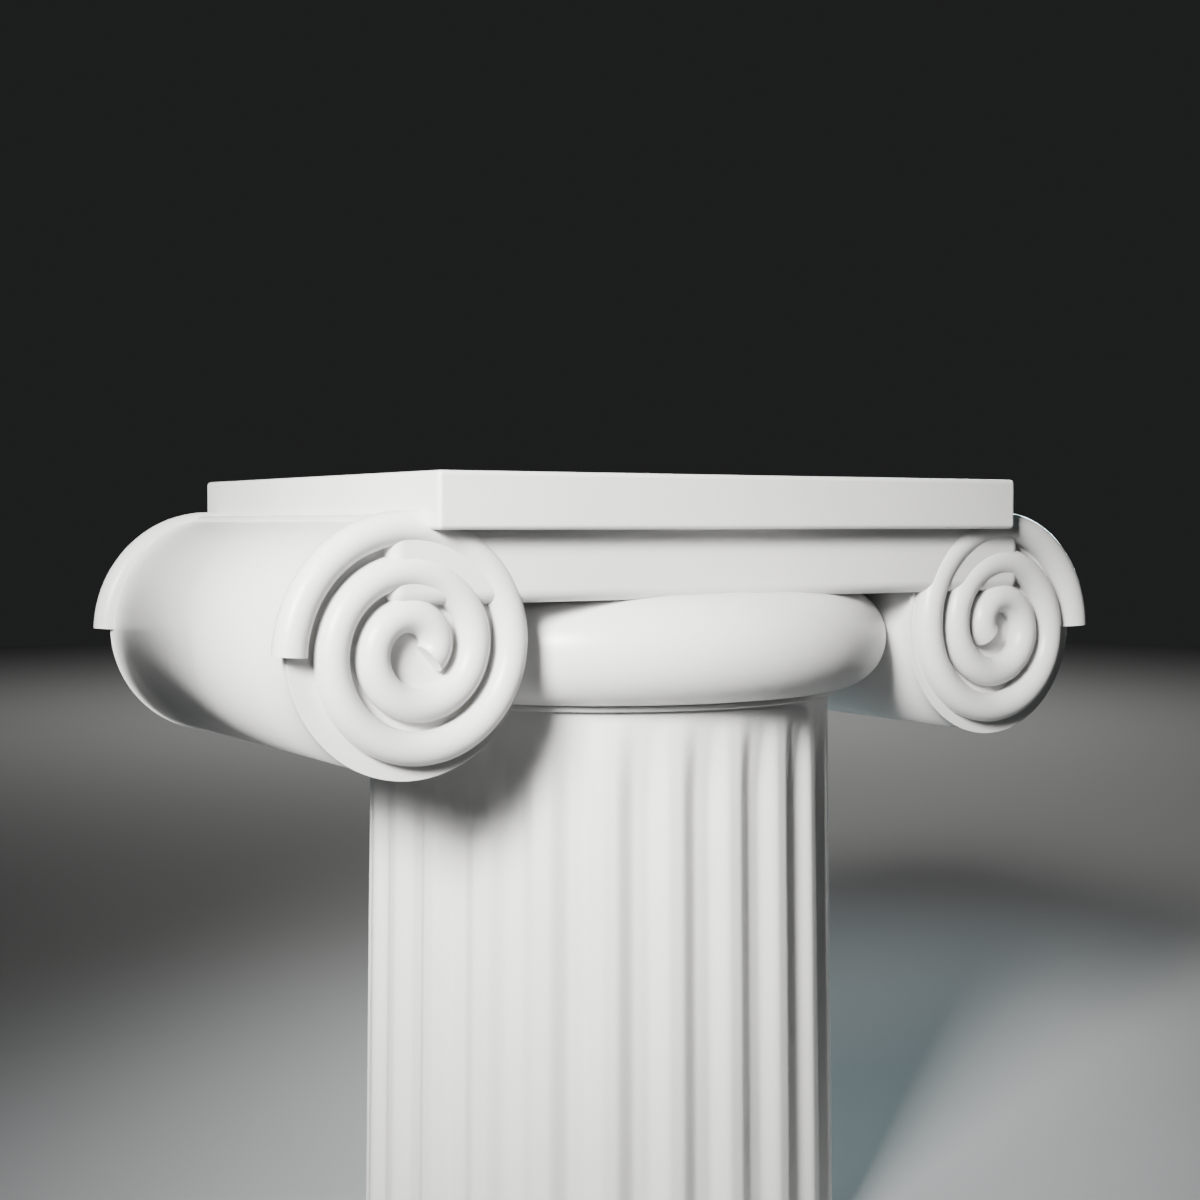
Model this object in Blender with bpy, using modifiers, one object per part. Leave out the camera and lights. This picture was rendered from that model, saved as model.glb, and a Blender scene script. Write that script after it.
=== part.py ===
# Ionic capital with the head of its fluted column, in metres, +Z up.
# X runs from volute to volute, Y from the front face to the back face.
# The origin is at the middle of the shaft's underside.
import math

import bmesh
import bpy

# Abacus: the flat slab on top
ABACUS_WIDTH = 0.604
ABACUS_DEPTH = 0.501
ABACUS_THICKNESS = 0.0457
ABACUS_EDGE = 0.004

# Canalis block: the band under the abacus that runs from volute to volute
CANALIS_SETBACK = 0.0215
CANALIS_OVERRUN = 0.023
CANALIS_HEIGHT = 0.0586
CANALIS_EDGE = 0.011
CANALIS_KEY = 0.001

# Bolsters: the rolls at the two sides, with a thin flared lip at each end
VOLUTE_SETBACK = 0.0155
BOLSTER_DROP = 0.0926
BOLSTER_RADIUS = 0.1012
BOLSTER_CLEARANCE = 0.0069
LIP_RISE = 0.0022
LIP_FLARE = 0.016
LIP_WIDTH = 0.0015

# Scrolls: the round rope of each volute, laid in a spiral on the bolster's end
SCROLL_ROPE_RADIUS = 0.0137
SCROLL_OVERHANG = 0.0018
SCROLL_END_DROP = 0.0020
SCROLL_EYE = 0.0010
SCROLL_TURNS = 2.59
SCROLL_STANDOFF = 0.0058

# Echinus: the round cushion between the volutes, on a thin collar
ECHINUS_PROJECTION = 0.0541
ECHINUS_HEIGHT = 0.0938
ECHINUS_BITE = 0.0036
COLLAR_HEIGHT = 0.0056
COLLAR_PROJECTION = 0.0085

# Shaft: the fluted head of the column
SHAFT_LENGTH = 0.5199
SHAFT_TOP_RADIUS = 0.2195
SHAFT_SPREAD = 0.0078
FLUTE_COUNT = 24
FLUTE_DEPTH = 0.0100
FLUTE_CROWN = 0.004
FLUTE_FLOOR = 0.011
FLUTE_START = 0.010
FLUTE_FADE = 0.090

# The bed joint between capital and shaft
JOINT_GAP = 0.0003

# How finely round shapes are faceted
EDGE_STEPS = 2
BOLSTER_SIDES = 40
ECHINUS_SIDES = 64
ECHINUS_ARC_STEPS = 10
LIP_ARC_STEPS = 3
ROPE_STEPS_PER_TURN = 20
ROPE_END_STEP = 0.004
ROPE_QUARTER_STEPS = 2
WALL_STEPS = 3
FADE_STEPS = 4
SHARP_ANGLE = math.radians(35)

# Levels, from the bed joint upwards
CAPITAL_BED = SHAFT_LENGTH
COLLAR_TOP = CAPITAL_BED + COLLAR_HEIGHT
CANALIS_UNDERSIDE = COLLAR_TOP + ECHINUS_HEIGHT - ECHINUS_BITE
ABACUS_UNDERSIDE = CANALIS_UNDERSIDE + CANALIS_HEIGHT
ABACUS_TOP = ABACUS_UNDERSIDE + ABACUS_THICKNESS
BOLSTER_AXIS = ABACUS_UNDERSIDE - BOLSTER_DROP

# Reaches from the column's axis
CANALIS_FACE = ABACUS_DEPTH / 2 - CANALIS_SETBACK
VOLUTE_FACE = CANALIS_FACE - VOLUTE_SETBACK
ECHINUS_RADIUS = SHAFT_TOP_RADIUS + ECHINUS_PROJECTION
COLLAR_RADIUS = SHAFT_TOP_RADIUS + COLLAR_PROJECTION
SHAFT_FOOT_RADIUS = SHAFT_TOP_RADIUS + SHAFT_SPREAD

STONE_COLOUR = (0.80, 0.80, 0.785, 1.0)
STONE_ROUGHNESS = 0.45


def bolster_reach():
    """From the column's axis to the roll's, so that the roll clears the rim of the shaft."""
    slant = BOLSTER_RADIUS + BOLSTER_CLEARANCE
    drop = BOLSTER_AXIS - CAPITAL_BED
    return SHAFT_TOP_RADIUS + math.sqrt(max(slant * slant - drop * drop, 0.0))


def clear_scene():
    for thing in list(bpy.data.objects):
        bpy.data.objects.remove(thing)


def new_collection(name, hidden=False):
    group = bpy.data.collections.new(name)
    group.hide_render = hidden
    bpy.context.scene.collection.children.link(group)
    return group


def stone_material(name):
    material = bpy.data.materials.new(name)
    material.use_nodes = True
    shader = material.node_tree.nodes["Principled BSDF"]
    shader.inputs["Base Color"].default_value = STONE_COLOUR
    shader.inputs["Roughness"].default_value = STONE_ROUGHNESS
    shader.inputs["Metallic"].default_value = 0.0
    return material


def mesh_object(name, mesh, group):
    thing = bpy.data.objects.new(name, mesh)
    group.objects.link(thing)
    return thing


def mark_helper(thing):
    thing.hide_render = True
    thing.display_type = "WIRE"


def plain_mesh(thing):
    """The object's shape with its modifiers or its bevel worked out."""
    bpy.context.view_layer.update()
    evaluated = thing.evaluated_get(bpy.context.evaluated_depsgraph_get())
    return bpy.data.meshes.new_from_object(evaluated)


def shade(mesh):
    mesh.shade_smooth()
    mesh.set_sharp_from_angle(angle=SHARP_ANGLE)


def box(name, size, bottom, top, edge, group):
    """A block centred on the column's axis, with its edges rounded off."""
    mesh = bpy.data.meshes.new(name)
    shape = bmesh.new()
    bmesh.ops.create_cube(shape, size=1.0)
    bmesh.ops.scale(shape, vec=(size[0], size[1], top - bottom), verts=shape.verts)
    bmesh.ops.translate(shape, vec=(0.0, 0.0, (top + bottom) / 2), verts=shape.verts)
    shape.to_mesh(mesh)
    shape.free()
    block = mesh_object(name, mesh, group)
    rounding = block.modifiers.new("rounded edges", "BEVEL")
    rounding.width = edge
    rounding.segments = EDGE_STEPS
    rounding.limit_method = "ANGLE"
    return block


def turned(name, profile, sides, group):
    """A solid turned about Z from a profile that runs down its outer side."""
    mesh = bpy.data.meshes.new(name)
    links = [(i, i + 1) for i in range(len(profile) - 1)]
    mesh.from_pydata([(radius, 0.0, level) for radius, level in profile], links, [])
    solid = mesh_object(name, mesh, group)
    lathe = solid.modifiers.new("lathe", "SCREW")
    lathe.axis = "Z"
    lathe.steps = sides
    lathe.render_steps = sides
    lathe.use_merge_vertices = True
    lathe.merge_threshold = 0.00005
    return solid


def bolster_profile():
    """The roll's outline: end face, lip, cavetto and plain roll, and the same again reversed."""
    lip_radius = BOLSTER_RADIUS + LIP_RISE
    lip_back = VOLUTE_FACE - LIP_WIDTH
    upper = [(0.0, VOLUTE_FACE), (lip_radius, VOLUTE_FACE)]
    for step in range(LIP_ARC_STEPS + 1):
        share = step / LIP_ARC_STEPS
        radius = BOLSTER_RADIUS + LIP_RISE * (1 - share) ** 3
        upper.append((radius, lip_back - LIP_FLARE * share))
    lower = [(radius, -level) for radius, level in reversed(upper)]
    return upper + lower


def make_bolster(side, group):
    roll = turned("bolster roll", bolster_profile(), BOLSTER_SIDES, group)
    roll.rotation_euler = (math.pi / 2, 0.0, 0.0)
    roll.location = (side * bolster_reach(), 0.0, BOLSTER_AXIS)
    return roll


def scroll_point(turn, side, face):
    """A point of the spiral: it starts at the outer side, climbs over the top and winds inwards."""
    start = BOLSTER_RADIUS + SCROLL_OVERHANG
    end = SCROLL_ROPE_RADIUS + SCROLL_EYE
    radius = start + (end - start) * turn / SCROLL_TURNS
    angle = 2 * math.pi * turn - SCROLL_END_DROP / start
    return (
        side * (bolster_reach() + radius * math.cos(angle)),
        face * (VOLUTE_FACE + SCROLL_STANDOFF),
        BOLSTER_AXIS + radius * math.sin(angle),
    )


def make_scroll(side, face, group):
    """The rope as a bevelled curve, then a mesh with its end caps welded on."""
    whole_steps = round(SCROLL_TURNS * ROPE_STEPS_PER_TURN)
    turns = [SCROLL_TURNS * step / whole_steps for step in range(whole_steps + 1)]
    turns.insert(1, ROPE_END_STEP)
    curve = bpy.data.curves.new("scroll path", "CURVE")
    curve.dimensions = "3D"
    curve.bevel_depth = SCROLL_ROPE_RADIUS
    curve.bevel_resolution = ROPE_QUARTER_STEPS
    curve.use_fill_caps = True
    spline = curve.splines.new("POLY")
    spline.points.add(len(turns) - 1)
    for point, turn in zip(spline.points, turns):
        point.co = (*scroll_point(turn, side, face), 1.0)
    path = mesh_object("scroll path", curve, group)
    mesh = plain_mesh(path)
    rope = mesh_object("scroll rope", mesh, group)
    rope.matrix_world = path.matrix_world
    bpy.data.objects.remove(path)
    shape = bmesh.new()
    shape.from_mesh(mesh)
    bmesh.ops.remove_doubles(shape, verts=shape.verts, dist=0.00002)
    bmesh.ops.recalc_face_normals(shape, faces=shape.faces)
    shape.to_mesh(mesh)
    shape.free()
    return rope


def echinus_profile():
    """The cushion's half-round outline on its collar, with a core that rises into the canalis block."""
    round_radius = ECHINUS_HEIGHT / 2
    core_radius = ECHINUS_RADIUS - round_radius
    core_top = (CANALIS_UNDERSIDE + ABACUS_UNDERSIDE) / 2
    profile = [(0.0, core_top), (core_radius, core_top)]
    for step in range(ECHINUS_ARC_STEPS + 1):
        angle = math.pi * (0.5 - step / ECHINUS_ARC_STEPS)
        reach = core_radius + round_radius * math.cos(angle)
        profile.append((reach, COLLAR_TOP + round_radius * (1 + math.sin(angle))))
    return profile + [(COLLAR_RADIUS, COLLAR_TOP), (COLLAR_RADIUS, CAPITAL_BED), (0.0, CAPITAL_BED)]


def fuse(target, others):
    for other in others:
        joint = target.modifiers.new("carved with " + other.name, "BOOLEAN")
        joint.operation = "UNION"
        joint.solver = "EXACT"
        joint.object = other
        mark_helper(other)


def make_capital(group, helpers, material):
    """Abacus, canalis block, bolsters, scrolls and echinus, carved from one stone."""
    abacus = box(
        "abacus",
        (ABACUS_WIDTH, ABACUS_DEPTH),
        ABACUS_UNDERSIDE,
        ABACUS_TOP,
        ABACUS_EDGE,
        helpers,
    )
    canalis = box(
        "canalis block",
        (2 * (bolster_reach() + CANALIS_OVERRUN), 2 * CANALIS_FACE),
        CANALIS_UNDERSIDE,
        ABACUS_UNDERSIDE + CANALIS_EDGE + CANALIS_KEY,
        CANALIS_EDGE,
        helpers,
    )
    echinus = turned("echinus", echinus_profile(), ECHINUS_SIDES, helpers)
    rolls = [make_bolster(side, helpers) for side in (-1, 1)]
    ropes = [make_scroll(side, face, helpers) for side in (-1, 1) for face in (-1, 1)]
    fuse(abacus, [canalis, echinus] + rolls + ropes)
    capital = mesh_object("capital", plain_mesh(abacus), group)
    mark_helper(abacus)
    shade(capital.data)
    capital.data.materials.append(material)
    return capital


def smooth_step(share):
    return share * share * (3 - 2 * share)


def flute_outline():
    """Angle and depth share of every point round the shaft: soft walls between crown and floor."""
    pitch = 2 * math.pi / FLUTE_COUNT
    crown = FLUTE_CROWN / SHAFT_TOP_RADIUS
    floor = FLUTE_FLOOR / SHAFT_TOP_RADIUS
    wall = (pitch - crown - floor) / 2
    found = []
    for flute in range(FLUTE_COUNT):
        falling = flute * pitch + crown / 2
        rising = falling + wall + floor
        for start, turn_over in ((falling, False), (rising, True)):
            for step in range(WALL_STEPS + 1):
                share = step / WALL_STEPS
                depth = smooth_step(1 - share if turn_over else share)
                found.append((start + wall * share, depth))
    return found


def shaft_rings():
    """Level, radius and flute depth of each ring, from the top down."""
    top = CAPITAL_BED - JOINT_GAP
    rings = [(top, 0.0)]
    for step in range(FADE_STEPS + 1):
        share = step / FADE_STEPS
        rings.append((top - FLUTE_START - FLUTE_FADE * share, FLUTE_DEPTH * smooth_step(share)))
    rings.append((0.0, FLUTE_DEPTH))
    return [(level, SHAFT_FOOT_RADIUS - SHAFT_SPREAD * level / top, depth) for level, depth in rings]


def make_shaft(group, material):
    """Rings of points from the top down, joined by quads and closed by two flat beds."""
    outline = flute_outline()
    shape = bmesh.new()
    grid = []
    for level, radius, depth in shaft_rings():
        ring = []
        for angle, share in outline:
            reach = radius - depth * share
            ring.append(shape.verts.new((reach * math.cos(angle), reach * math.sin(angle), level)))
        grid.append(ring)
    for upper, lower in zip(grid, grid[1:]):
        for i in range(len(outline)):
            j = (i + 1) % len(outline)
            shape.faces.new((upper[i], lower[i], lower[j], upper[j]))
    shape.faces.new(grid[0])
    shape.faces.new(list(reversed(grid[-1])))
    bmesh.ops.recalc_face_normals(shape, faces=shape.faces)
    mesh = bpy.data.meshes.new("shaft")
    shape.to_mesh(mesh)
    shape.free()
    shade(mesh)
    mesh.materials.append(material)
    return mesh_object("shaft", mesh, group)


def main():
    clear_scene()
    column = new_collection("ionic capital")
    helpers = new_collection("shapes carved into the capital", hidden=True)
    make_capital(column, helpers, stone_material("capital stone"))
    make_shaft(column, stone_material("shaft stone"))


main()
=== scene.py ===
import math

import bmesh
import bpy
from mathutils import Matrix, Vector


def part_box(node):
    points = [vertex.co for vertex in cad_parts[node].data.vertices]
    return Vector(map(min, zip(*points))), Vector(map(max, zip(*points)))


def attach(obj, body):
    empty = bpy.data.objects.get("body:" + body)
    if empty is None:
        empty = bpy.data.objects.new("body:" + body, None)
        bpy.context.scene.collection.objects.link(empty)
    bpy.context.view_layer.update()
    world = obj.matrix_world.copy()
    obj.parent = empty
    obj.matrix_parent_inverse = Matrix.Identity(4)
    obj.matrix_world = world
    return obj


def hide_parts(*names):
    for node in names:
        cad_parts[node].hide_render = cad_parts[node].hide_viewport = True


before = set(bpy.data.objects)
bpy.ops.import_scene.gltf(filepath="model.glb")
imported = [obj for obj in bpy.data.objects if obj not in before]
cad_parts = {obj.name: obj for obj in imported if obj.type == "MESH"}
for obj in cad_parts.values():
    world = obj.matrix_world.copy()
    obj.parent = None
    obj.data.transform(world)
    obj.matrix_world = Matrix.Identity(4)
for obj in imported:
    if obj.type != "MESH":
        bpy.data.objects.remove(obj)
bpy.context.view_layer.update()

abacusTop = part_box("capital")[1].z
shaftLow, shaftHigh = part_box("shaft")
print("stage 1: frame loaded, the capital's top is at", round(abacusTop, 4))

# the bed between the two stones
bed = {
    "gap": 0.0003,           # the shaft stops this far under the capital
}
bedLevel = shaftHigh.z + bed["gap"]

# points nearer than this are made one, in metres
welding = {
    "lathe": 0.00002,
    "ropes": 0.00002,
    "shaft": 0.00001,
    "capital": 0.000003,
}

# how the stone's edges are shaded
carving = {
    "sharpAngle": 32.0,      # degrees; softer edges are shaded smooth
}


# helpers for node trees
def feed(tree, socket, value):   # value is another node's output, or a plain setting
    if isinstance(value, bpy.types.NodeSocket):
        tree.links.new(value, socket)
    else:
        socket.default_value = value


def addNode(tree, kind, inputs=None, **settings):
    node = tree.nodes.new(kind)
    for name, value in settings.items():
        setattr(node, name, value)
    for socket, value in (inputs or {}).items():
        feed(tree, node.inputs[socket], value)
    return node


def calc(tree, operation, *values):
    node = addNode(tree, "ShaderNodeMath", operation=operation)
    for socket, value in zip(node.inputs, values):
        feed(tree, socket, value)
    return node.outputs[0]


def newTree(name, sizes):        # every entry of sizes becomes a named input
    tree = bpy.data.node_groups.new(name, "GeometryNodeTree")
    tree.interface.new_socket("Geometry", in_out="INPUT", socket_type="NodeSocketGeometry")
    tree.interface.new_socket("Geometry", in_out="OUTPUT", socket_type="NodeSocketGeometry")
    kinds = {float: "NodeSocketFloat", int: "NodeSocketInt"}
    for label, value in sizes.items():
        kind = kinds.get(type(value), "NodeSocketMaterial")
        tree.interface.new_socket(label, in_out="INPUT", socket_type=kind)
    return tree, tree.nodes.new("NodeGroupInput").outputs


def closeTree(tree, shape, stone):   # realised, given its stone, and handed to the output
    whole = addNode(tree, "GeometryNodeRealizeInstances", {"Geometry": shape})
    dressed = addNode(tree, "GeometryNodeSetMaterial", {"Geometry": whole.outputs[0], "Material": stone})
    addNode(tree, "NodeGroupOutput", {"Geometry": dressed.outputs[0]})


# helpers for objects and meshes
def newObject(name, mesh):
    thing = bpy.data.objects.new(name, mesh)
    bpy.context.scene.collection.objects.link(thing)
    return thing


def plainMesh(thing):
    bpy.context.view_layer.update()
    evaluated = thing.evaluated_get(bpy.context.evaluated_depsgraph_get())
    return bpy.data.meshes.new_from_object(evaluated)


def applyModifier(thing, modifier):  # its result becomes the object's own plain mesh
    mesh = plainMesh(thing)
    thing.modifiers.remove(modifier)
    thing.data = mesh


def tidyMesh(mesh, weld):        # doubles merged, every face turned outwards
    shape = bmesh.new()
    shape.from_mesh(mesh)
    bmesh.ops.remove_doubles(shape, verts=shape.verts, dist=weld)
    bmesh.ops.recalc_face_normals(shape, faces=shape.faces)
    shape.to_mesh(mesh)
    shape.free()


def shadeStone(mesh):
    mesh.shade_smooth()
    mesh.set_sharp_from_angle(angle=math.radians(carving["sharpAngle"]))


def runTree(name, tree, sizes):  # the tree's result as a plain mesh object
    thing = newObject(name, bpy.data.meshes.new(name))
    maker = thing.modifiers.new(name, "NODES")
    maker.node_group = tree
    for item in tree.interface.items_tree:
        if item.in_out == "INPUT" and item.name in sizes:
            maker[item.identifier] = sizes[item.name]
    applyModifier(thing, maker)
    return thing


def roundedBox(name, size, bottom, top, rounding, steps):
    mesh = bpy.data.meshes.new(name)
    shape = bmesh.new()
    bmesh.ops.create_cube(shape, size=1.0)
    bmesh.ops.scale(shape, vec=(size[0], size[1], top - bottom), verts=shape.verts)
    bmesh.ops.translate(shape, vec=(0.0, 0.0, (top + bottom) / 2), verts=shape.verts)
    shape.to_mesh(mesh)
    shape.free()
    block = newObject(name, mesh)
    edge = block.modifiers.new("rounded edges", "BEVEL")
    edge.width = rounding
    edge.segments = steps
    edge.limit_method = "ANGLE"
    return block


def turned(name, profile, sides):    # the profile runs down the solid's outer side
    mesh = bpy.data.meshes.new(name)
    links = [(i, i + 1) for i in range(len(profile) - 1)]
    mesh.from_pydata([(radius, 0.0, level) for radius, level in profile], links, [])
    solid = newObject(name, mesh)
    lathe = solid.modifiers.new("lathe", "SCREW")
    lathe.axis = "Z"
    lathe.steps = sides
    lathe.render_steps = sides
    lathe.use_merge_vertices = True
    lathe.merge_threshold = welding["lathe"]
    return solid


def roundedCorner(centre, radius, start, end, steps):    # points of an arc, degrees from +radius
    points = []
    for step in range(steps + 1):
        angle = math.radians(start + (end - start) * step / steps)
        points.append((centre[0] + radius * math.cos(angle), centre[1] + radius * math.sin(angle)))
    return points


# pale dressed stone: one recipe for both blocks, each with its own patch of clouding
stone = {
    "paleColour": (0.690, 0.688, 0.678, 1.0),
    "greyColour": (0.655, 0.655, 0.648, 1.0),
    "greyBelow": 0.34,       # clouding noise under this is the grey, over the next the pale colour
    "paleAbove": 0.62,
    "cloudScale": 5.5,
    "cloudDetail": 5.0,
    "cloudRoughness": 0.55,
    "grainScale": 420.0,
    "grainDetail": 3.0,
    "grainDepth": 0.0012,
    "toolScale": 34.0,
    "toolDetail": 2.0,
    "toolDepth": 0.0025,
    "toolLow": 0.3,          # tooling noise between these runs from the low to the high roughness
    "toolHigh": 0.7,
    "roughnessLow": 0.30,
    "roughnessHigh": 0.40,
    "bumpStrength": 0.10,
    "specular": 0.45,
    "capitalPatch": (0.0, 0.0, 0.0),     # where in the noise each block is cut from
    "shaftPatch": (3.1, 1.7, 2.3),
}


def stoneMaterial(name, patchPlace):
    material = bpy.data.materials.new(name)
    material.use_nodes = True
    tree = material.node_tree
    shader = tree.nodes["Principled BSDF"]
    place = addNode(tree, "ShaderNodeTexCoord")
    patch = addNode(tree, "ShaderNodeMapping", {"Vector": place.outputs["Object"], "Location": patchPlace})
    spot = patch.outputs["Vector"]
    cloud = addNode(tree, "ShaderNodeTexNoise", {
        "Vector": spot, "Scale": stone["cloudScale"], "Detail": stone["cloudDetail"],
        "Roughness": stone["cloudRoughness"],
    })
    grain = addNode(tree, "ShaderNodeTexNoise", {
        "Vector": spot, "Scale": stone["grainScale"], "Detail": stone["grainDetail"],
    })
    tooling = addNode(tree, "ShaderNodeTexNoise", {
        "Vector": spot, "Scale": stone["toolScale"], "Detail": stone["toolDetail"],
    })
    tint = addNode(tree, "ShaderNodeValToRGB", {"Fac": cloud.outputs["Fac"]})
    grey, pale = tint.color_ramp.elements
    grey.position = stone["greyBelow"]
    grey.color = stone["greyColour"]
    pale.position = stone["paleAbove"]
    pale.color = stone["paleColour"]
    sheen = addNode(tree, "ShaderNodeMapRange", {
        "Value": tooling.outputs["Fac"], "From Min": stone["toolLow"], "From Max": stone["toolHigh"],
        "To Min": stone["roughnessLow"], "To Max": stone["roughnessHigh"],
    })
    tooled = addNode(tree, "ShaderNodeBump", {
        "Height": tooling.outputs["Fac"], "Strength": stone["bumpStrength"], "Distance": stone["toolDepth"],
    })
    grainy = addNode(tree, "ShaderNodeBump", {
        "Height": grain.outputs["Fac"], "Strength": stone["bumpStrength"],
        "Distance": stone["grainDepth"], "Normal": tooled.outputs["Normal"],
    })
    tree.links.new(tint.outputs["Color"], shader.inputs["Base Color"])
    tree.links.new(sheen.outputs["Result"], shader.inputs["Roughness"])
    tree.links.new(grainy.outputs["Normal"], shader.inputs["Normal"])
    shader.inputs["Specular IOR Level"].default_value = stone["specular"]
    return material


capitalFinish = stoneMaterial("pale stone of the capital", stone["capitalPatch"])
shaftFinish = stoneMaterial("pale stone of the shaft", stone["shaftPatch"])
print("stage 2: stone finishes ready")


# the abacus, the flat slab on top
abacus = {
    "width": 0.604,
    "depth": 0.501,
    "thickness": 0.0457,
    "rounding": 0.004,
    "roundingSteps": 6,
}
abacusUnderside = abacusTop - abacus["thickness"]


def makeAbacus():
    size = (abacus["width"], abacus["depth"])
    return roundedBox(
        "abacus slab", size, abacusUnderside, abacusTop, abacus["rounding"], abacus["roundingSteps"]
    )


# the flat block behind the volutes, which shows as the band under the abacus
canalis = {
    "setback": 0.0215,       # from the abacus face
    "overrun": 0.023,        # past the roll's axis
    "height": 0.0586,
    "rounding": 0.011,
    "key": 0.001,            # overlap into the abacus above the rounded edge
    "roundingSteps": 10,
}
canalisFace = abacus["depth"] / 2 - canalis["setback"]
canalisUnderside = abacusUnderside - canalis["height"]


def makeCanalis():
    size = (2 * (rollReach + canalis["overrun"]), 2 * canalisFace)
    top = abacusUnderside + canalis["rounding"] + canalis["key"]
    return roundedBox(
        "canalis block", size, canalisUnderside, top, canalis["rounding"], canalis["roundingSteps"]
    )


# the rolls at both sides, each with a thin flared lip at its two ends
roll = {
    "radius": 0.1012,
    "drop": 0.0926,          # the axis lies this far under the abacus
    "clearance": 0.0069,     # to the rim of the shaft
    "setback": 0.0155,       # end faces behind the canalis face
    "lipRise": 0.0022,
    "lipFlare": 0.016,
    "lipWidth": 0.0015,
    "rimRounding": 0.0006,
    "rimSteps": 4,
    "flareSteps": 12,
    "flarePower": 3,         # the lip curls up ever faster towards its rim
    "plainSteps": 14,        # rings from each flare to the middle
    "sides": 160,
    "swell": (               # place along the roll, front to back, and the shading's slope there
        (-0.212, 0.10), (-0.192, -0.30), (-0.150, -0.42), (-0.060, -0.15), (-0.020, 0.0), (0.040, 0.46),
        (0.100, 0.84), (0.150, 1.08), (0.176, 1.00), (0.194, 0.52), (0.206, -0.05), (0.212, -0.90),
    ),
    "swellSide": 0.78,       # share of that slope at the roll's sides
    "swellTop": 0.7,         # as much less at the top, and more at the underside
    "surfaceSlack": 0.0009,  # faces this near to the roll's surface are shaded so
    "facing": 0.9,           # where they face away from the axis at least this squarely
}
voluteFace = canalisFace - roll["setback"]
rollAxis = abacusUnderside - roll["drop"]


def rollProfile():               # radius and place along the roll, from one end to the other
    rimRadius = roll["radius"] + roll["lipRise"]
    rounding = roll["rimRounding"]
    upper = [(0.0, voluteFace)]
    corner = (rimRadius - rounding, voluteFace - rounding)
    upper += roundedCorner(corner, rounding, 90, 0, roll["rimSteps"])
    for step in range(roll["flareSteps"] + 1):
        share = step / roll["flareSteps"]
        radius = roll["radius"] + roll["lipRise"] * (1 - share) ** roll["flarePower"]
        upper.append((radius, voluteFace - roll["lipWidth"] - roll["lipFlare"] * share))
    plainEnd = voluteFace - roll["lipWidth"] - roll["lipFlare"]
    for step in range(1, roll["plainSteps"]):
        upper.append((roll["radius"], plainEnd * (1 - step / roll["plainSteps"])))
    return upper + [(radius, -level) for radius, level in reversed(upper)]


def makeRoll(side):              # turned upright, then laid down along Y
    body = turned("roll", rollProfile(), roll["sides"])
    body.rotation_euler = (math.pi / 2, 0.0, 0.0)
    body.location = (side * rollReach, 0.0, rollAxis)
    return body


def swellSlope(along):           # slope of the shading at this place along the roll
    places = roll["swell"]
    for (before, low), (after, high) in zip(places, places[1:]):
        if along <= after:
            share = max(along - before, 0.0) / (after - before)
            return low + (high - low) * share
    return places[-1][1]


def onRoll(face, spoke):         # whether the face belongs to a roll's outer surface
    rise = spoke.length - roll["radius"]
    near = -roll["surfaceSlack"] < rise < roll["lipRise"] + roll["surfaceSlack"]
    inside = abs(face.center.y) < voluteFace - roll["lipWidth"]
    return near and inside and face.normal.dot(spoke.normalized()) > roll["facing"]


def swellRolls(mesh):            # the rolls are shaded as if they swelled between their lips
    normals = [corner.vector.copy() for corner in mesh.corner_normals]
    for face in mesh.polygons:
        axis = math.copysign(rollReach, face.center.x)
        if not onRoll(face, Vector((face.center.x - axis, 0.0, face.center.z - rollAxis))):
            continue
        for corner in face.loop_indices:
            point = mesh.vertices[mesh.loops[corner].vertex_index].co
            outward = Vector((point.x - axis, 0.0, point.z - rollAxis)).normalized()
            outward.y = swellSlope(point.y) * (roll["swellSide"] - roll["swellTop"] * outward.z)
            normals[corner] = outward.normalized()
    mesh.normals_split_custom_set(normals)


# the echinus, a round cushion on its thin collar
echinus = {
    "projection": 0.0541,    # outwards from the shaft's top radius, like the collar's
    "height": 0.0938,
    "collarHeight": 0.0056,
    "collarProjection": 0.0085,
    "collarRounding": 0.0021,
    "collarSteps": 4,
    "sides": 192,
    "arcSteps": 36,
}


def makeEchinus():
    roundRadius = echinus["height"] / 2
    coreRadius = shaft["Top radius"] + echinus["projection"] - roundRadius
    collarRadius = shaft["Top radius"] + echinus["collarProjection"]
    collarTop = bedLevel + echinus["collarHeight"]
    edge = echinus["collarRounding"]
    steps = echinus["collarSteps"]
    coreTop = (canalisUnderside + abacusUnderside) / 2
    profile = [(0.0, coreTop), (coreRadius, coreTop)]
    profile += roundedCorner((coreRadius, collarTop + roundRadius), roundRadius, 90, -90, echinus["arcSteps"])
    profile += roundedCorner((collarRadius - edge, collarTop - edge), edge, 90, 0, steps)
    profile += roundedCorner((collarRadius - edge, bedLevel + edge), edge, 0, -90, steps)
    profile.append((0.0, bedLevel))
    return turned("echinus", profile, echinus["sides"])


# the head of the shaft with its flutes
shaft = {
    "Top radius": 0.2195,
    "Spread": 0.0078,        # the radius grows by this down to the cut
    "Length": shaftHigh.z,
    "Flutes": 24,
    "Flute depth": 0.0100,
    "Crown width": 0.009,
    "Floor width": 0.011,
    "Start": 0.006,
    "Fade": 0.090,
    "Fade bend": 0.5,        # under 1 the flutes deepen sooner below their heads
    "Points round": 720,
    "Rings": 64,
    "Ring crowding": 1.5,
    "Stone": shaftFinish,
}

# the rounding round the shaft's two beds
shaftEdge = {
    "width": 0.0006,
    "steps": 3,
    "angle": 60.0,
}

# each roll just clears the shaft's rim
rollSlant = roll["radius"] + roll["clearance"]
rollReach = shaft["Top radius"] + math.sqrt(rollSlant ** 2 - (rollAxis - bedLevel) ** 2)


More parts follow.
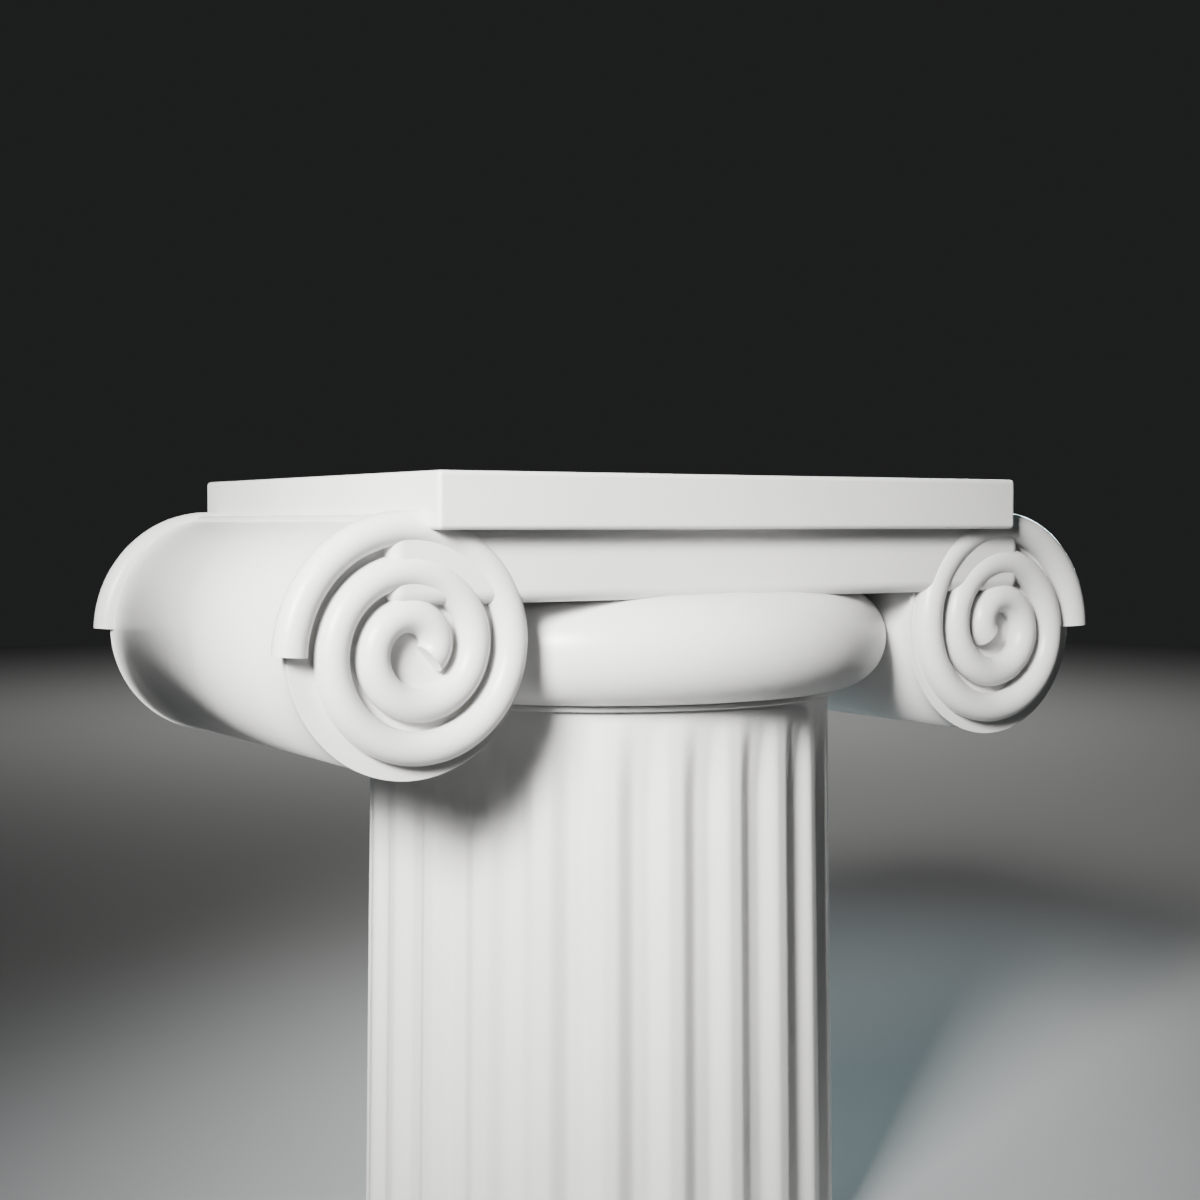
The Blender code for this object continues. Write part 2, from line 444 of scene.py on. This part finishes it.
def shaftTree():
    tree, size = newTree("fluted shaft", shaft)
    drum = addNode(tree, "GeometryNodeMeshCylinder", {
        "Vertices": size["Points round"], "Side Segments": size["Rings"],
        "Radius": size["Top radius"], "Depth": size["Length"],
    }, fill_type="NGON")
    place = addNode(tree, "ShaderNodeSeparateXYZ", {
        "Vector": addNode(tree, "GeometryNodeInputPosition").outputs[0],
    })
    angle = calc(tree, "ARCTAN2", place.outputs["Y"], place.outputs["X"])
    # rings crowd towards the top, where the flutes run out
    downShare = calc(tree, "SUBTRACT", 0.5, calc(tree, "DIVIDE", place.outputs["Z"], size["Length"]))
    drop = calc(tree, "MULTIPLY", calc(tree, "POWER", downShare, size["Ring crowding"]), size["Length"])
    level = calc(tree, "SUBTRACT", size["Length"], drop)
    # across a flute, as angles: half a crown, a soft wall, half a floor, and the same mirrored
    diameter = calc(tree, "MULTIPLY", size["Top radius"], 2.0)
    halfPitch = calc(tree, "DIVIDE", math.pi, size["Flutes"])
    halfCrown = calc(tree, "DIVIDE", size["Crown width"], diameter)
    halfFloor = calc(tree, "DIVIDE", size["Floor width"], diameter)
    wall = addNode(tree, "ShaderNodeMapRange", {
        "Value": calc(tree, "PINGPONG", angle, halfPitch),
        "From Min": halfCrown, "From Max": calc(tree, "SUBTRACT", halfPitch, halfFloor),
    }, interpolation_type="SMOOTHSTEP")
    # down a flute: it runs out to nothing under the bed
    fade = addNode(tree, "ShaderNodeMapRange", {
        "Value": drop, "From Min": size["Start"], "From Max": calc(tree, "ADD", size["Start"], size["Fade"]),
    }, interpolation_type="SMOOTHSTEP")
    opening = calc(tree, "POWER", fade.outputs[0], size["Fade bend"])
    cut = calc(tree, "MULTIPLY", calc(tree, "MULTIPLY", wall.outputs[0], opening), size["Flute depth"])
    spread = calc(tree, "MULTIPLY", calc(tree, "DIVIDE", drop, size["Length"]), size["Spread"])
    radius = calc(tree, "SUBTRACT", calc(tree, "ADD", size["Top radius"], spread), cut)
    carved = addNode(tree, "ShaderNodeCombineXYZ", {
        "X": calc(tree, "MULTIPLY", radius, calc(tree, "COSINE", angle)),
        "Y": calc(tree, "MULTIPLY", radius, calc(tree, "SINE", angle)),
        "Z": level,
    })
    shaped = addNode(tree, "GeometryNodeSetPosition", {
        "Geometry": drum.outputs["Mesh"], "Position": carved.outputs[0],
    })
    closeTree(tree, shaped.outputs[0], size["Stone"])
    return tree


def makeShaft():
    drum = runTree("shaftStone", shaftTree(), shaft)
    tidyMesh(drum.data, welding["shaft"])
    edge = drum.modifiers.new("softened beds", "BEVEL")
    edge.width = shaftEdge["width"]
    edge.segments = shaftEdge["steps"]
    edge.limit_method = "ANGLE"
    edge.angle_limit = math.radians(shaftEdge["angle"])
    applyModifier(drum, edge)
    shadeStone(drum.data)
    return drum


# the rope of each volute, one spiral repeated at the four roll ends
rope = {
    "Rope radius": 0.0137,
    "Overhang": 0.0018,      # the rope's outer turn lies this far outside the roll
    "End drop": 0.0020,      # the outer end hangs this far under the roll's axis
    "Eye": 0.0010,
    "Turns": 2.59,
    "Standoff": 0.0058,
    "Steps per turn": 96,
    "Rope sides": 36,
    "Roll ends": 4,
    "Roll radius": roll["radius"],
    "Reach": rollReach,
    "Face": voluteFace,
    "Axis level": rollAxis,
    "Stone": capitalFinish,
}


def scrollTree():
    tree, size = newTree("spiral ropes of the volutes", rope)
    startRadius = calc(tree, "ADD", size["Roll radius"], size["Overhang"])
    spiral = addNode(tree, "GeometryNodeCurveSpiral", {
        "Resolution": size["Steps per turn"], "Rotations": size["Turns"], "Start Radius": startRadius,
        "End Radius": calc(tree, "ADD", size["Rope radius"], size["Eye"]),
        "Height": 0.0, "Reverse": True,
    })
    upright = addNode(tree, "ShaderNodeCombineXYZ", {
        "X": math.pi / 2, "Y": calc(tree, "DIVIDE", size["End drop"], startRadius),
    })
    stood = addNode(tree, "GeometryNodeTransform", {
        "Geometry": spiral.outputs[0], "Rotation": upright.outputs[0],
    })
    section = addNode(tree, "GeometryNodeCurvePrimitiveCircle", {
        "Resolution": size["Rope sides"], "Radius": size["Rope radius"],
    })
    strand = addNode(tree, "GeometryNodeCurveToMesh", {
        "Curve": stood.outputs[0], "Profile Curve": section.outputs[0], "Fill Caps": True,
    })
    # the count of the roll end says which side of the column it is at, and front or back
    count = addNode(tree, "GeometryNodeInputIndex").outputs[0]
    side = calc(tree, "MODULO", count, 2.0)
    back = calc(tree, "FLOOR", calc(tree, "DIVIDE", count, 2.0))
    sideSign = calc(tree, "SUBTRACT", 1.0, calc(tree, "MULTIPLY", side, 2.0))
    backSign = calc(tree, "SUBTRACT", calc(tree, "MULTIPLY", back, 2.0), 1.0)
    centre = addNode(tree, "ShaderNodeCombineXYZ", {
        "X": calc(tree, "MULTIPLY", sideSign, size["Reach"]),
        "Y": calc(tree, "MULTIPLY", backSign, calc(tree, "ADD", size["Face"], size["Standoff"])),
        "Z": size["Axis level"],
    })
    turn = addNode(tree, "ShaderNodeCombineXYZ", {"Z": calc(tree, "MULTIPLY", side, math.pi)})
    spots = addNode(tree, "GeometryNodePoints", {"Count": size["Roll ends"], "Position": centre.outputs[0]})
    ropes = addNode(tree, "GeometryNodeInstanceOnPoints", {
        "Points": spots.outputs[0], "Instance": strand.outputs[0], "Rotation": turn.outputs[0],
    })
    closeTree(tree, ropes.outputs[0], size["Stone"])
    return tree


def makeRopes():
    ropes = runTree("scrollRopes", scrollTree(), rope)
    tidyMesh(ropes.data, welding["ropes"])
    return ropes


# the whole capital, carved from one stone
def makeCapital():
    slab = makeAbacus()
    others = [makeCanalis(), makeEchinus(), makeRoll(-1), makeRoll(1), makeRopes()]
    for other in others:
        union = slab.modifiers.new("carved with " + other.name, "BOOLEAN")
        union.operation = "UNION"
        union.solver = "EXACT"
        union.object = other
    mesh = plainMesh(slab)
    for thing in [slab] + others:
        bpy.data.objects.remove(thing)
    mesh.materials.clear()
    mesh.materials.append(capitalFinish)
    tidyMesh(mesh, welding["capital"])
    shadeStone(mesh)
    capital = newObject("capitalStone", mesh)
    evened = capital.modifiers.new("even shading", "WEIGHTED_NORMAL")
    evened.keep_sharp = True
    applyModifier(capital, evened)
    swellRolls(capital.data)
    return capital


capitalStone = makeCapital()
print("stage 3: capital carved,", len(capitalStone.data.polygons), "faces")
shaftStone = makeShaft()
print("stage 4: shaft fluted,", len(shaftStone.data.polygons), "faces")

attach(capitalStone, "root")
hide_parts("capital")
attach(shaftStone, "root")
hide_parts("shaft")


# plain pale floor
floor = {
    "radius": 9.0,
    "sides": 96,
    "colour": (0.33, 0.33, 0.325, 1.0),
    "roughness": 0.9,
}


def makeFloor():
    mesh = bpy.data.meshes.new("studioFloor")
    shape = bmesh.new()
    bmesh.ops.create_circle(shape, cap_ends=True, segments=floor["sides"], radius=floor["radius"])
    bmesh.ops.translate(shape, vec=(0.0, 0.0, shaftLow.z), verts=shape.verts)
    shape.to_mesh(mesh)
    shape.free()
    material = bpy.data.materials.new("plain pale floor")
    material.use_nodes = True
    shader = material.node_tree.nodes["Principled BSDF"]
    shader.inputs["Base Color"].default_value = floor["colour"]
    shader.inputs["Roughness"].default_value = floor["roughness"]
    mesh.materials.append(material)
    ground = newObject("studioFloor", mesh)


makeFloor()


# soft studio light: two keys from the front left, one of them narrow, a fill further to the left,
# a weak cool rim from behind on the right, and a lamp over the far floor
capitalMiddle = (0.0, 0.0, 0.56)
lights = {
    "key": {
        "aim": capitalMiddle, "azimuth": -142.0, "elevation": 20.0, "distance": 2.2,
        "size": 0.6, "watts": 7.8, "spread": 60.0, "colour": (1.0, 0.99, 0.97),
    },
    "upper key": {
        "aim": (0.0, 0.0, 0.52), "azimuth": -142.5, "elevation": 25.0, "distance": 2.4,
        "size": 0.6, "watts": 8.6, "spread": 30.0, "colour": (1.0, 0.99, 0.97),
    },
    "left fill": {
        "aim": capitalMiddle, "azimuth": -172.0, "elevation": 38.0, "distance": 2.4,
        "size": 1.2, "watts": 2.6, "spread": 40.0, "colour": (1.0, 1.0, 0.99),
    },
    "rim": {
        "aim": capitalMiddle, "azimuth": 36.0, "elevation": 10.0, "distance": 3.0,
        "size": 0.9, "watts": 8.0, "spread": 40.0, "colour": (0.70, 0.92, 1.0),
    },
    "far floor": {
        "aim": (2.6, 4.2, 0.0), "azimuth": 0.0, "elevation": 90.0, "distance": 3.2,
        "size": 2.4, "watts": 50.0, "spread": 120.0, "colour": (1.0, 1.0, 1.0),
    },
}
studio = {
    "worldColour": (0.80, 0.82, 0.84, 1.0),
    "worldStrength": 0.022,
}


def makeLight(name, setting):
    target = Vector(setting["aim"])
    azimuth = math.radians(setting["azimuth"])
    elevation = math.radians(setting["elevation"])
    way = Vector((
        math.cos(elevation) * math.cos(azimuth),
        math.cos(elevation) * math.sin(azimuth),
        math.sin(elevation),
    ))
    lamp = bpy.data.lights.new(name, "AREA")
    lamp.size = setting["size"]
    lamp.energy = setting["watts"]
    lamp.color = setting["colour"]
    lamp.spread = math.radians(setting["spread"])
    holder = newObject(name, lamp)
    holder.location = target + way * setting["distance"]
    holder.rotation_euler = way.to_track_quat("Z", "Y").to_euler()


for lightName, lightSetting in lights.items():
    makeLight(lightName + " light", lightSetting)
world = bpy.data.worlds.new("studio")
world.use_nodes = True
background = world.node_tree.nodes["Background"]
background.inputs["Color"].default_value = studio["worldColour"]
background.inputs["Strength"].default_value = studio["worldStrength"]
bpy.context.scene.world = world
bpy.context.scene.view_settings.view_transform = "AgX"
print("stage 5: floor and lights placed")


# the photograph's own viewpoint, level with the abacus, in front and to the left
view = {
    "location": (-0.94086, -1.49172, 0.6790),
    "tiltDown": 0.0417,      # radians under the horizon
    "turn": -0.5631,         # radians about Z
    "focalPixels": 1829.0,
    "framePixels": 1200.0,
    "sensor": 36.0,
}
lens = bpy.data.cameras.new("camera")
lens.sensor_width = view["sensor"]
lens.lens = view["sensor"] * view["focalPixels"] / view["framePixels"]
camera = newObject("camera", lens)
camera.location = view["location"]
camera.rotation_euler = (math.pi / 2 - view["tiltDown"], 0.0, view["turn"])
bpy.context.scene.camera = camera
